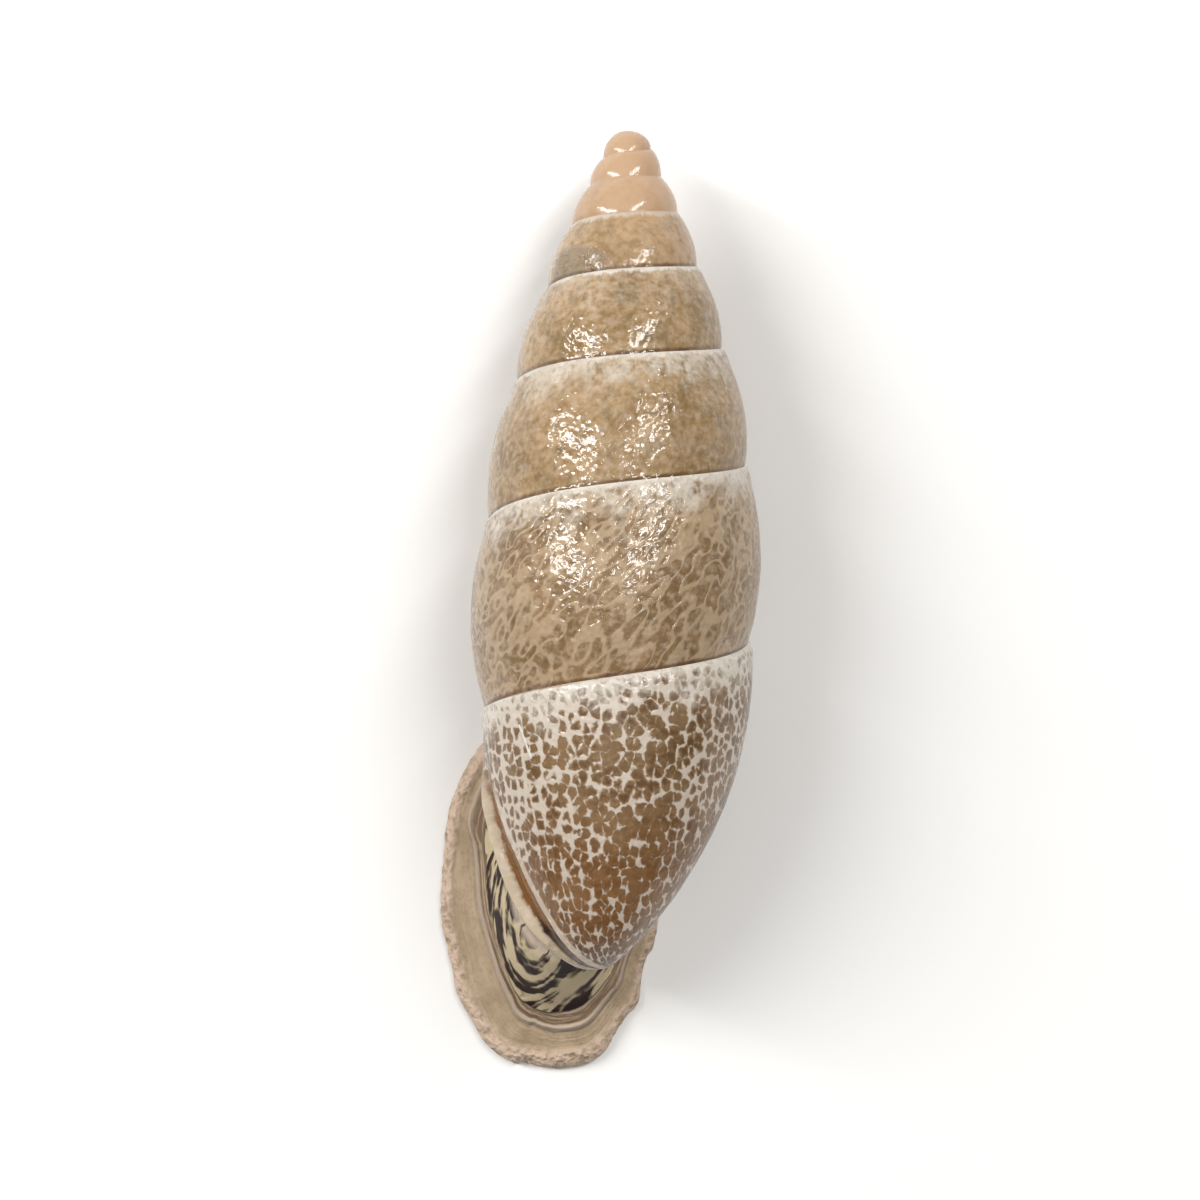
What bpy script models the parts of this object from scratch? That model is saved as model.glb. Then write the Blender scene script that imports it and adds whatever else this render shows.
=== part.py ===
"""A long spindle-shaped land-snail shell, lying on its mouth side with the back of the shell up.

The shell grew as one piece, so it is one solid. Its outer wall is one helical strip: the lower
edge of every whorl is the upper edge of the next. The last whorl ends in a neck that turns
down and flares into a broad lip, and the mouth is hollowed out of it.

Shell frame, in millimetres: the coiling axis is Y with the apex towards +Y, X points to the right
of the back view and Z out of the shell's back. "Depth" is the distance below the apex along the
axis, and "turn" counts whorls of growth from 0 at the apex to 7 at the lip.
"""

import math

import bmesh
import bpy
import numpy as np
from mathutils import Matrix

MM = 0.001

# Growth of the whorls: one value per whole turn, from FIRST_TURN on, joined by a smooth curve.
FIRST_TURN = -2
LAST_TURN = 7.0
SUTURE_DEPTH = (0.0, 0.1, 0.3, 1.0, 1.89, 3.28, 5.36, 8.46, 13.0, 19.1, 25.3, 31.0)
BELLY_RADIUS = (0.8, 0.82, 0.85, 1.27, 1.85, 2.58, 3.51, 4.3, 4.64, 4.13, 3.4, 3.0)
BELLY_SHARE = (0.95, 0.95, 0.95, 0.95, 0.95, 0.95, 0.9, 0.72, 0.42, -0.05, -0.1, -0.1)
BASE_DEPTH = (1.8, 2.4, 3.4, 5.0, 7.5, 11.0, 15.8, 20.2, 24.3, 28.3, 30.0, 30.0)
BASE_FULLNESS = 0.83
TIP_BEFORE_END = 0.3
TIP_STRETCH = 3
ROUND_TURNS = 1.5
COIL_LEAN = 0.055
BOW = 0.0019
BOW_CROSSING = 13.3
BOW_END = 17.0
GROWTH_TWIST = 0.07
TWIST_FROM = 6.3

# The neck and the mouth. "Run" is the way along the neck: below 0 it follows the coil, and above 0
# it goes straight out of the shell's belly side. "Flare" is -1 on the neck's centre line, 0 on the
# neck's own wall and 1 on the rim of the lip.
NECK_CENTRE = 1.7
NECK_HALF_WIDTH = 2.25
NECK_HALF_HEIGHT = 3.7
NECK_DEPTH = 24.4
NECK_DROP = 0.1
COIL_DROP = 0.85
TURN_RADIUS = 2.1
LIP_OUTER = 1.53
LIP_LOWER = 2.18
LIP_INNER = 0.95
LIP_UPPER = 2.6
LIP_SKEW = 0.05
LIP_SQUARENESS = 0.03
LIP_PLANE = 0.0085
LIP_PLANE_DEPTH = 25.2
NECK_OUTLINE = (
    (-2.6, -0.9), (-2.2, -0.75), (-1.6, -0.57), (-0.9, -0.46), (-0.2, -0.36), (0.5, -0.27), (1.2, -0.18),
    (2.0, -0.09), (2.8, -0.03), (3.4, 0.06), (3.7, 0.25), (3.95, 0.5), (4.2, 0.85), (4.5, 1.05),
    (4.85, 1.04), (5.0, 0.85), (4.87, 0.6), (4.7, 0.35), (4.6, 0.1), (4.6, -0.4), (4.6, -0.8),
)
NECK_BELOW_WALL = 0.12
MOUTH_OUTLINE = (
    (6.0, -0.9), (6.0, -0.6), (6.0, 0.2), (5.7, 0.42), (5.1, 0.3), (4.6, 0.1), (4.0, -0.08),
    (3.4, -0.16), (2.6, -0.22), (1.8, -0.3), (1.0, -0.4), (0.2, -0.5), (-0.6, -0.53), (-1.4, -0.53),
    (-2.2, -0.56), (-3.0, -0.64), (-3.8, -0.78), (-4.2, -0.9),
)
MOUTH_BELOW_WALL = 0.45
WALL_ENTRY = 0.8
CALLUS = 0.1
CALLUS_END = 6.45

# Resting on the floor, belly side down.
REST_TILT = 2.4
FLAT_SPOT = 0.08

# Facets.
STEPS_PER_TURN = 40
BAND_STEPS = 6
BAND_SPACING = 1.2
BASE_STEPS = 6
BASE_SPACING = 0.8
OUTLINE_STEPS = 2
NECK_STEPS = 36
MOUTH_STEPS = 32
SHARP_FROM = 40
WELD = 0.002
SLIVER = 0.0005


def bell(x):
    """The cubic B-spline's bell: 2/3 at its middle, 1/6 one step away and 0 from two steps on."""
    x = np.abs(x)
    return (np.maximum(2 - x, 0) ** 3 - 4 * np.maximum(1 - x, 0) ** 3) / 6


def curve(values):
    """The smooth curve that passes through a list of values, one per whole turn."""
    knots = np.arange(len(values)) + FIRST_TURN
    weights = np.linalg.solve(bell(knots[:, None] - knots[None, :]), values)
    return lambda turn: sum(w * bell(turn - k) for w, k in zip(weights, knots))


def blend(x):
    """0 below 0, 1 above 1, and a smooth step between."""
    x = np.clip(x, 0, 1)
    return x * x * (3 - 2 * x)


def birth(turn):
    """How far the first whorl has opened out of the apex: a quarter circle over one turn."""
    x = np.clip(turn, 0, 1)
    return np.sqrt(x * (2 - x))


suture_curve = curve(SUTURE_DEPTH)
belly_curve = curve(BELLY_RADIUS)
belly_share = curve(BELLY_SHARE)
base_depth = curve(BASE_DEPTH)


def suture_depth(turn):
    return suture_curve(turn) * birth(turn)


def belly_radius(turn):
    return belly_curve(turn) * birth(turn + 1)


def belly_depth(turn):
    top = suture_depth(turn)
    return top + belly_share(turn) * (suture_depth(turn + 1) - top)


def below_belly(turn, depth):
    """The share of the belly radius that is left at a depth below the belly."""
    belly = belly_depth(turn)
    x = np.clip((depth - belly) / (base_depth(turn) - belly), 0, 1)
    return (1 - x * x) ** BASE_FULLNESS


def whorl_radius(turn, depth):
    """Radius of one whorl's outer wall: a shoulder from the suture out to the belly, then the base."""
    top, belly = suture_depth(turn), belly_depth(turn)
    suture_radius = belly_radius(turn - 1) * below_belly(turn - 1, top)
    h = np.clip((depth - top) / np.maximum(belly - top, 1e-6), 0, 1)
    roundness = 0.5 + 0.5 * np.clip(turn / ROUND_TURNS, 0, 1)
    shoulder = (1 - (1 - h) ** 2) ** roundness
    out = suture_radius + (belly_radius(turn) - suture_radius) * shoulder
    return out * below_belly(turn, depth)


def place(x, z, depth):
    """A point of the shell frame, with the coil's lean and the axis's slight bow put in."""
    d = np.minimum(depth, BOW_END)
    return np.stack([x + BOW * d * (BOW_CROSSING - d), -(depth + COIL_LEAN * x), z], axis=-1)


def whorl_point(turn, depth, extra=0.0):
    """A point of the coiled wall. The last whorl's growth lines lean back towards its base."""
    radius = whorl_radius(turn, depth) + extra
    top = suture_depth(turn)
    down = np.clip((depth - top) / (base_depth(turn) - top), 0, 1)
    twist = GROWTH_TWIST * blend((turn - TWIST_FROM) / (LAST_TURN - TWIST_FROM)) * down
    angle = math.pi + 2 * math.pi * (turn - LAST_TURN - twist)
    return place(radius * np.cos(angle), radius * np.sin(angle), depth)


def add_grid(mesh, points):
    """Adds a sheet of quads from a grid of points, rows by columns."""
    rows = [[mesh.verts.new(p) for p in row] for row in points.tolist()]
    for above, below in zip(rows, rows[1:]):
        for i in range(len(above) - 1):
            mesh.faces.new((above[i], above[i + 1], below[i + 1], below[i]))


def close(mesh):
    """Joins the sheets where they meet, closes the open ends, and turns the faces outwards."""
    bmesh.ops.remove_doubles(mesh, verts=mesh.verts, dist=WELD)
    bmesh.ops.dissolve_degenerate(mesh, dist=SLIVER, edges=mesh.edges)
    bmesh.ops.holes_fill(mesh, edges=mesh.edges, sides=0)
    bmesh.ops.triangulate(mesh, faces=mesh.faces)
    bmesh.ops.recalc_face_normals(mesh, faces=mesh.faces)


def coil(end, thicker=0.0):
    """The closed coil from the apex to a turn. All of its last base runs to one tip on the axis."""
    mesh = bmesh.new()
    turns = np.linspace(-1, end, round((end + 1) * STEPS_PER_TURN) + 1)[:, None]
    share = np.linspace(0, 1, BAND_STEPS + 1)[None, :] ** BAND_SPACING
    top, bottom = suture_depth(turns), suture_depth(turns + 1)
    add_grid(mesh, whorl_point(turns, top + (bottom - top) * share, thicker))

    last = turns[-STEPS_PER_TURN - 1:]
    share = np.linspace(0, 1, BASE_STEPS + 1)[None, :] ** BASE_SPACING
    top, bottom = suture_depth(last + 1), base_depth(last)
    base = whorl_point(last, top + (bottom - top) * share, thicker * (1 - share))
    base[:, :, 1] -= (base_depth(end - TIP_BEFORE_END) - bottom) * share ** TIP_STRETCH
    add_grid(mesh, base)
    close(mesh)
    return mesh


def neck_point(run, flare, around, below_wall):
    """A point of the neck: how far along it, how far out from it, and the angle around it."""
    out, down = np.cos(around), np.sin(around)
    lip = (LIP_OUTER * np.maximum(out, 0) ** 2 + LIP_INNER * np.minimum(out, 0) ** 2
           + LIP_LOWER * np.maximum(down, 0) ** 2 + LIP_UPPER * np.minimum(down, 0) ** 2)
    lip = lip * (1 - LIP_SQUARENESS * np.cos(4 * around))
    scale, grow = 1 + np.minimum(flare, 0), lip * np.maximum(flare, 0)
    depth = NECK_DEPTH + NECK_DROP * run + (COIL_DROP - NECK_DROP) * np.minimum(run, 0)
    depth = depth + (NECK_HALF_HEIGHT * scale + grow) * down
    from_axis = NECK_CENTRE + (NECK_HALF_WIDTH * scale + grow) * out
    from_axis = from_axis + LIP_SKEW * np.maximum(flare, 0) * down
    turn = LAST_TURN + np.minimum(run, 0) / (2 * math.pi * TURN_RADIUS)
    room = whorl_radius(turn, depth) - below_wall
    from_axis = from_axis + blend(-run / WALL_ENTRY) * np.minimum(room - from_axis, 0)
    angle = math.pi + 2 * math.pi * (turn - LAST_TURN)
    away = np.maximum(run, 0) * (1 + LIP_PLANE * (depth - LIP_PLANE_DEPTH))
    return place(from_axis * np.cos(angle), from_axis * np.sin(angle) - away, depth)


def swept(outline, below_wall, steps):
    """A closed solid swept round the neck from an outline of (run, flare) points."""
    at = np.linspace(1, len(outline) - 2, (len(outline) - 3) * OUTLINE_STEPS + 1)[:, None]
    run, flare = (sum(v[k] * bell(at - i) for i, v in enumerate(outline)) for k in (0, 1))
    around = np.linspace(0, 2 * math.pi, steps + 1)[None, :]
    mesh = bmesh.new()
    add_grid(mesh, neck_point(run, flare, around, below_wall))
    close(mesh)
    return mesh


def lay_down(meshes):
    """Lays the bmeshes on the floor, in metres: lowest points flattened, origin below the middle."""
    tilt = Matrix.Rotation(math.radians(-REST_TILT), 4, "X")
    for mesh in meshes:
        mesh.transform(tilt)
    points = np.array([v.co for mesh in meshes[:2] for v in mesh.verts])
    low, high = points.min(axis=0), points.max(axis=0)
    middle = (low + high) / 2
    floor = low[2] + FLAT_SPOT
    for mesh in meshes[:2]:
        for v in mesh.verts:
            v.co.z = max(v.co.z, floor)
    to_floor = Matrix.Scale(MM, 4) @ Matrix.Translation((-middle[0], -middle[1], -floor))
    for mesh in meshes:
        mesh.transform(to_floor)


def as_object(name, mesh, material=None):
    data = bpy.data.meshes.new(name)
    mesh.to_mesh(data)
    mesh.free()
    data.shade_smooth()
    data.set_sharp_from_angle(angle=math.radians(SHARP_FROM))
    made = bpy.data.objects.new(name, data)
    bpy.context.scene.collection.objects.link(made)
    if material:
        data.materials.append(material)
    return made


def as_cutter(name, mesh):
    made = as_object(name, mesh)
    made.hide_render = True
    made.display_type = "WIRE"
    return made


def combine(made, operation, other, solver="EXACT"):
    modifier = made.modifiers.new(other.name, "BOOLEAN")
    modifier.operation = operation
    modifier.object = other
    modifier.solver = solver


def shell_material():
    made = bpy.data.materials.new("shell")
    made.use_nodes = True
    bsdf = made.node_tree.nodes["Principled BSDF"]
    bsdf.inputs["Base Color"].default_value = (0.45, 0.31, 0.17, 1)
    bsdf.inputs["Roughness"].default_value = 0.3
    bsdf.inputs["Metallic"].default_value = 0.0
    return made


def main():
    for old in list(bpy.data.objects):
        bpy.data.objects.remove(old)

    whorls = coil(LAST_TURN)
    neck = swept(NECK_OUTLINE, NECK_BELOW_WALL, NECK_STEPS)
    mouth = swept(MOUTH_OUTLINE, MOUTH_BELOW_WALL, MOUTH_STEPS)
    parietal_wall = coil(CALLUS_END, CALLUS)
    lay_down([whorls, neck, mouth, parietal_wall])

    shell = as_object("shell", whorls, shell_material())
    mouth_cutter = as_cutter("mouth", mouth)
    combine(mouth_cutter, "DIFFERENCE", as_cutter("parietal_wall", parietal_wall))
    combine(shell, "UNION", as_cutter("neck", neck))
    combine(shell, "DIFFERENCE", mouth_cutter, "MANIFOLD")


main()
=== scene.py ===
# %% [markdown]
# # A spindle-shaped land-snail shell, lying on its mouth
#
# The shell is a thin-walled cone that the snail rolled up as it grew: seven whorls, each laid
# against the one before, and at the end a short neck that flares into a broad lip. Everything
# is made from rules, so a few numbers per whorl give the whole form. The steps are: the growth
# curves, the coiled wall, the neck and lip, the hollow mouth, then the glaze, the floor, the
# light and the camera.

# %% Load the frame and the tools
import math

import bmesh
import bpy
import numpy as np
from mathutils import Matrix, Vector


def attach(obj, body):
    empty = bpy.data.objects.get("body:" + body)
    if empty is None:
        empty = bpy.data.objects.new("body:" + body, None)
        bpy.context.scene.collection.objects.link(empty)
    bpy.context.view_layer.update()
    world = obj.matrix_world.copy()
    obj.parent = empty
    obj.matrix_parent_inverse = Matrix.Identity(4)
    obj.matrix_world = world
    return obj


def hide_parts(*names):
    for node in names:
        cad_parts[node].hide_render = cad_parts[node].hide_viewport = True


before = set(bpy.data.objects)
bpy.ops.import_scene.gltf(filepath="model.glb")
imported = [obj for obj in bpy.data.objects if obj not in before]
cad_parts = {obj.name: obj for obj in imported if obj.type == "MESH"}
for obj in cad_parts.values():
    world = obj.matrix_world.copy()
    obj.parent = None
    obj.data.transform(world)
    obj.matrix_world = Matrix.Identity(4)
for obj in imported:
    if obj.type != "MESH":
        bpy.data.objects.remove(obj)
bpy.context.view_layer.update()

# %% [markdown]
# ## Arithmetic as nodes
#
# Geometry Nodes and shader nodes do their sums with Math nodes. A long formula is hard to read
# as nodes made one by one, so this small class lets Python's own + - * / make them. The trees
# that come out are ordinary ones, which can be opened and changed in Blender.

# %% A number inside a node tree
class Amount:
    """The output of a node. Arithmetic on it adds Math nodes to its tree."""

    def __init__(self, socket):
        self.socket = socket

    def __add__(self, other):
        return maths("ADD", self, other)

    def __radd__(self, other):
        return maths("ADD", other, self)

    def __sub__(self, other):
        return maths("SUBTRACT", self, other)

    def __rsub__(self, other):
        return maths("SUBTRACT", other, self)

    def __mul__(self, other):
        return maths("MULTIPLY", self, other)

    def __rmul__(self, other):
        return maths("MULTIPLY", other, self)

    def __truediv__(self, other):
        return maths("DIVIDE", self, other)

    def __rtruediv__(self, other):
        return maths("DIVIDE", other, self)

    def __pow__(self, other):
        return maths("POWER", self, other)


def plug(value, socket):
    """Links a node's output to a socket, or sets the socket's own value."""
    if isinstance(value, Amount):
        socket.id_data.links.new(value.socket, socket)
    else:
        socket.default_value = value


def add_node(tree, kind, settings=None, inputs=None):
    """Adds a node, sets its options and plugs its inputs, which are named or numbered."""
    node = tree.nodes.new(kind)
    for name, value in (settings or {}).items():
        setattr(node, name, value)
    for name, value in (inputs or {}).items():
        plug(value, node.inputs[name])
    return node


def result_of(tree, kind, settings=None, inputs=None, output=0):
    """Adds a node and returns one of its outputs, the first unless another is asked for."""
    return Amount(add_node(tree, kind, settings, inputs).outputs[output])


def tree_of(*values):
    """The node tree that the values come from. Plain numbers among them come from none."""
    return next(v.socket.id_data for v in values if isinstance(v, Amount))


def maths(operation, *values):
    """A sum on numbers, as a Math node."""
    return result_of(tree_of(*values), "ShaderNodeMath", {"operation": operation}, dict(enumerate(values)))


def vectors(operation, *values):
    """A sum on vectors, as a Vector Math node."""
    output = "Value" if operation in ("DOT_PRODUCT", "LENGTH") else "Vector"
    return result_of(tree_of(*values), "ShaderNodeVectorMath", {"operation": operation},
                     dict(enumerate(values)), output)


def scaled(a, amount):
    """A vector made longer or shorter by a number."""
    return result_of(tree_of(a), "ShaderNodeVectorMath", {"operation": "SCALE"}, {0: a, "Scale": amount})


# %% Small helpers for formulas
def larger(a, b):
    return maths("MAXIMUM", a, b)


def smaller(a, b):
    return maths("MINIMUM", a, b)


def cosine(a):
    return maths("COSINE", a)


def sine(a):
    return maths("SINE", a)


def size_of(a):
    return maths("ABSOLUTE", a)


def step(value, low, high, below=0.0, above=1.0):
    """A smooth step: one number up to low, another from high on."""
    limits = {"From Min": low, "From Max": high, "To Min": below, "To Max": above}
    return result_of(tree_of(value), "ShaderNodeMapRange", {"interpolation_type": "SMOOTHSTEP"},
                     {"Value": value, **limits}, "Result")


def hump(value, middle, reach):
    """1 where the value is at the middle, falling smoothly to 0 at that reach from it."""
    return step(size_of(value - middle), 0.0, reach, 1.0, 0.0)


def vector(x, y, z):
    """Three numbers as one vector."""
    return result_of(tree_of(x, y, z), "ShaderNodeCombineXYZ", None, {0: x, 1: y, 2: z})


def parts(a):
    """The three numbers of a vector."""
    node = add_node(tree_of(a), "ShaderNodeSeparateXYZ", None, {0: a})
    return [Amount(out) for out in node.outputs]


def noise(at, scale, detail, roughness, seed):
    """Smooth chance, about 0.5 in the middle, at points given as a vector."""
    moved = vectors("ADD", at, (seed, seed * 1.7, -seed))
    return result_of(tree_of(at), "ShaderNodeTexNoise", None,
                     {"Vector": moved, "Scale": scale, "Detail": detail, "Roughness": roughness})


# %% Trees with named inputs and outputs
SOCKETS = {float: "NodeSocketFloat", int: "NodeSocketInt", tuple: "NodeSocketVector"}


def start_tree(name, kind, inputs):
    """A new node tree and its inputs, each given by its own value or by its kind's name."""
    tree = bpy.data.node_groups.new(name, kind)
    for title, value in inputs.items():
        by_kind = isinstance(value, str)
        socket_type = "NodeSocket" + value if by_kind else SOCKETS[type(value)]
        made = tree.interface.new_socket(title, in_out="INPUT", socket_type=socket_type)
        if not by_kind:
            made.default_value = value
    entry = tree.nodes.new("NodeGroupInput")
    return tree, {title: Amount(entry.outputs[title]) for title in inputs}


def end_tree(tree, outputs, kind="NodeSocketFloat"):
    """Gives the tree its outputs, all of one kind, and returns it."""
    exit_node = tree.nodes.new("NodeGroupOutput")
    for title, value in outputs.items():
        tree.interface.new_socket(title, in_out="OUTPUT", socket_type=kind)
        plug(value, exit_node.inputs[title])
    print(f"tree {tree.name}: {len(tree.nodes)} nodes")
    return tree


def use(group, inputs):
    """Places a node group in the tree of its inputs and returns its outputs by name."""
    tree = tree_of(*inputs.values())
    node = tree.nodes.new(tree.bl_idname.replace("NodeTree", "NodeGroup"))
    node.node_tree = group
    for title, value in inputs.items():
        plug(value, node.inputs[title])
    return {out.name: Amount(out) for out in node.outputs}


# %% [markdown]
# ## How the shell grows
#
# One number per whole turn says how far below the apex the seam between two whorls lies (the
# suture), how wide the whorl's belly is, where on the whorl that belly sits, and how deep its
# hidden base reaches. A smooth curve through those numbers makes the growth steady. The curve
# is a sum of bells, one for each number, which is simple enough to work out inside a node tree.

# %% The numbers of growth, in millimetres
FIRST_TURN = -2
LAST_TURN = 7.0
SUTURE_DEPTH = (0.0, 0.1, 0.3, 1.0, 1.89, 3.28, 5.36, 8.46, 13.0, 19.1, 25.3, 31.0)
BELLY_RADIUS = (0.8, 0.82, 0.85, 1.27, 1.85, 2.58, 3.51, 4.3, 4.64, 4.13, 3.4, 3.0)
BELLY_SHARE = (0.95, 0.95, 0.95, 0.95, 0.95, 0.95, 0.9, 0.72, 0.42, -0.05, -0.1, -0.1)
BASE_DEPTH = (1.8, 2.4, 3.4, 5.0, 7.5, 11.0, 15.8, 20.2, 24.3, 28.3, 30.0, 30.0)
BASE_FULLNESS = 0.83
ROUND_TURNS = 1.5


def bell_height(x):
    """A smooth bell, four units wide."""
    x = np.abs(x)
    return (np.maximum(2 - x, 0) ** 3 - 4 * np.maximum(1 - x, 0) ** 3) / 6


def bell_weights(values):
    """How tall each bell has to be for their sum to pass through the values."""
    knots = np.arange(len(values))
    return np.linalg.solve(bell_height(knots[:, None] - knots[None, :]), values)


# %% A bell, and the four growth curves, as node groups
tree, given = start_tree("Bell", "GeometryNodeTree", {"Distance": 0.0})
far = size_of(given["Distance"])
height = (larger(2.0 - far, 0.0) ** 3.0 - 4.0 * larger(1.0 - far, 0.0) ** 3.0) / 6.0
bell = end_tree(tree, {"Height": height})

tree, given = start_tree("Growth", "GeometryNodeTree", {"Turn": 0.0})
turn = given["Turn"]
bells = [use(bell, {"Distance": turn - float(FIRST_TURN + k)})["Height"] for k in range(len(SUTURE_DEPTH))]


def growth_curve(values):
    """The sum of the bells that passes through the values."""
    weights = bell_weights(values)
    total = bells[0] * float(weights[0])
    for weight, height in zip(weights[1:], bells[1:]):
        total = maths("MULTIPLY_ADD", height, float(weight), total)
    return total


def birth(turn):
    """How far the first whorl has opened out of the apex."""
    x = smaller(larger(turn, 0.0), 1.0)
    return maths("SQRT", x * (2.0 - x))


growth = end_tree(tree, {
    "Suture Depth": growth_curve(SUTURE_DEPTH) * birth(turn),
    "Belly Radius": growth_curve(BELLY_RADIUS) * birth(turn + 1.0),
    "Belly Share": growth_curve(BELLY_SHARE),
    "Base Depth": growth_curve(BASE_DEPTH),
})

# %% [markdown]
# ## The wall of a whorl
#
# Cut the shell in half and each whorl shows a curved outline: a shoulder that swells from the
# suture to the belly, and a base that closes again below it. The group gives the wall's distance
# from the axis at any turn and depth. The next whorl starts exactly where the one above leaves
# off, so all the whorls together are one unbroken strip.

# %% The distance from the axis to the wall
tree, given = start_tree("Whorl Wall", "GeometryNodeTree", {"Turn": 0.0, "Depth": 0.0})
turn, depth = given["Turn"], given["Depth"]
before = use(growth, {"Turn": turn - 1.0})
here = use(growth, {"Turn": turn})
after = use(growth, {"Turn": turn + 1.0})


def belly_depth(whorl, next_whorl):
    """How deep the widest place of a whorl lies between its two sutures."""
    suture = whorl["Suture Depth"]
    return suture + whorl["Belly Share"] * (next_whorl["Suture Depth"] - suture)


def below_belly(whorl, belly, depth):
    """The share of the belly's radius that is left below it."""
    x = smaller(larger((depth - belly) / (whorl["Base Depth"] - belly), 0.0), 1.0)
    return (1.0 - x * x) ** BASE_FULLNESS


top = here["Suture Depth"]
belly = belly_depth(here, after)
suture_radius = before["Belly Radius"] * below_belly(before, belly_depth(before, here), top)
h = smaller(larger((depth - top) / larger(belly - top, 1e-6), 0.0), 1.0)
roundness = 0.5 + 0.5 * smaller(larger(turn / ROUND_TURNS, 0.0), 1.0)
shoulder = (1.0 - (1.0 - h) ** 2.0) ** roundness
radius = suture_radius + (here["Belly Radius"] - suture_radius) * shoulder
whorl_wall = end_tree(tree, {
    "Radius": radius * below_belly(here, belly, depth),
    "Top": top,
    "Next Top": after["Suture Depth"],
    "Base": here["Base Depth"],
    "Width": here["Belly Radius"],
})

# %% The lean of the coil and the slight bow of the whole shell
COIL_LEAN = 0.055
BOW = 0.0019
BOW_CROSSING = 13.3
BOW_END = 17.0

tree, given = start_tree("Shell Place", "GeometryNodeTree", {"X": 0.0, "Z": 0.0, "Depth": 0.0})
d = smaller(given["Depth"], BOW_END)
shell_place = end_tree(tree, {
    "Point": vector(given["X"] + BOW * d * (BOW_CROSSING - d),
                    (given["Depth"] + COIL_LEAN * given["X"]) * -1.0, given["Z"]),
}, "NodeSocketVector")

# %% [markdown]
# ## The coiled wall as a Geometry Nodes tree
#
# The wall starts as a flat grid: one direction is growth, the other runs across the whorl. Each
# point is then moved to its place on the coil. Relief goes in at the same moment, as a little
# extra radius: the crinkled white ledge under each suture, the hammered dents, the growth lines,
# the thin ridge of the snail's last pause and the rolled edge where the growth stopped.

# %% Where the thin ridge of the last pause runs: (depth, angle in degrees round the axis)
GROWTH_TWIST = 0.025
TWIST_FROM = 6.3
PAUSE_LINE = ((20.5, 163.0), (21.8, 159.5), (22.8, 156.5), (23.65, 151.5), (24.4, 148.5), (25.1, 145.0),
              (25.9, 141.2), (26.6, 138.0), (27.6, 134.0))
EDGE_FROM = 6.982


def drawn_curve(value, points):
    """A smooth curve through (input, output) points, as a Float Curve node."""
    low, high = points[0][0], points[-1][0]
    least, most = min(p[1] for p in points), max(p[1] for p in points)
    node = add_node(tree_of(value), "ShaderNodeFloatCurve", None, {"Value": (value - low) / (high - low)})
    line = node.mapping.curves[0]
    while len(line.points) < len(points):
        line.points.new(0.5, 0.5)
    for spot, (x, y) in zip(line.points, points):
        spot.location = ((x - low) / (high - low), (y - least) / ((most - least) or 1.0))
    node.mapping.extend = "HORIZONTAL"
    node.mapping.update()
    return Amount(node.outputs[0]) * (most - least) + least


# %% The relief of the wall: how high each form stands, in millimetres
LEDGE_HEIGHT = 0.05
DENT_HEIGHT = 0.07
LINE_HEIGHT = 0.035
RIDGE_HEIGHT = 0.08
SUNK_BEHIND_RIDGE = 0.05
EDGE_ROLL = 0.4
MORE_ROLL_MIDWAY = 0.1
FULL_RELIEF_RADIUS = 4.4

tree, given = start_tree("Whorl Relief", "GeometryNodeTree", {
    "Turn": 0.0, "Depth": 0.0, "Top": 0.0, "Next Top": 1.0, "Width": 1.0, "Point": (0.0, 0.0, 0.0),
    "Beside Ridge": 0.0, "Past Edge": 0.0})
turn, depth = given["Turn"], given["Depth"]
size = given["Width"] / FULL_RELIEF_RADIUS
below = depth - given["Top"]
end_whorl = step(turn, 6.0, 6.03)
quiet_at_seams = step(below, 0.0, 0.12) * larger(step(given["Next Top"] - depth, 0.0, 0.25), end_whorl)
along = vector(turn * 95.0, below * 0.8, 0.0)
crinkle = noise(along, 1.0, 2.0, 0.6, 3.0)
ledge = step(below, 0.0, 0.07) * step(below, 0.14, 0.75, 1.0, 0.0) * (0.45 + 1.1 * crinkle) * size
ledge_height = LEDGE_HEIGHT * step(turn, 1.5, 3.5)
dents = noise(given["Point"], 1.15, 2.0, 0.5, 7.0) - 0.5
lines = noise(vector(turn * 70.0, depth * 0.35, 0.0), 1.0, 2.0, 0.55, 11.0) - 0.5
ridge = hump(given["Beside Ridge"], 0.0, 0.16) * step(depth, 20.6, 21.6) * step(turn, 6.6, 6.7)
sunk = step(given["Beside Ridge"], 0.05, 0.3) * step(depth, 20.4, 21.4) * step(turn, 6.6, 6.7)
rolled = step(given["Past Edge"], -0.008, 0.008) * step(depth, 20.0, 22.2) * step(depth, 25.8, 27.4, 1.0, 0.2)
whorl_relief = end_tree(tree, {
    "Height": ledge * ledge_height + quiet_at_seams * (
        dents * DENT_HEIGHT * size * size + lines * LINE_HEIGHT * size
        + ridge * RIDGE_HEIGHT - sunk * SUNK_BEHIND_RIDGE)
    + rolled * (EDGE_ROLL + MORE_ROLL_MIDWAY * hump(depth, 24.8, 2.5)),
})

# %% The tree that coils the grid
STEPS_PER_TURN = 236
COIL_START = -1.0
TIP_BEFORE_END = 0.42


def flat_grid(columns, rows):
    """Nodes for a flat grid, and how far along and across it each point lies, from 0 to 1."""
    tree = tree_of(columns)
    grid = result_of(tree, "GeometryNodeMeshGrid", None,
                     {"Size X": 1.0, "Size Y": 1.0, "Vertices X": columns, "Vertices Y": rows})
    x, y, _ = parts(result_of(tree, "GeometryNodeInputPosition"))
    return grid, x + 0.5, y + 0.5


def keep(mesh, name, three):
    """Keeps three numbers on the mesh, for its material to read."""
    return result_of(tree_of(mesh), "GeometryNodeStoreNamedAttribute",
                     {"data_type": "FLOAT_VECTOR", "domain": "CORNER"},
                     {"Geometry": mesh, "Name": name, "Value": three})


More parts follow.
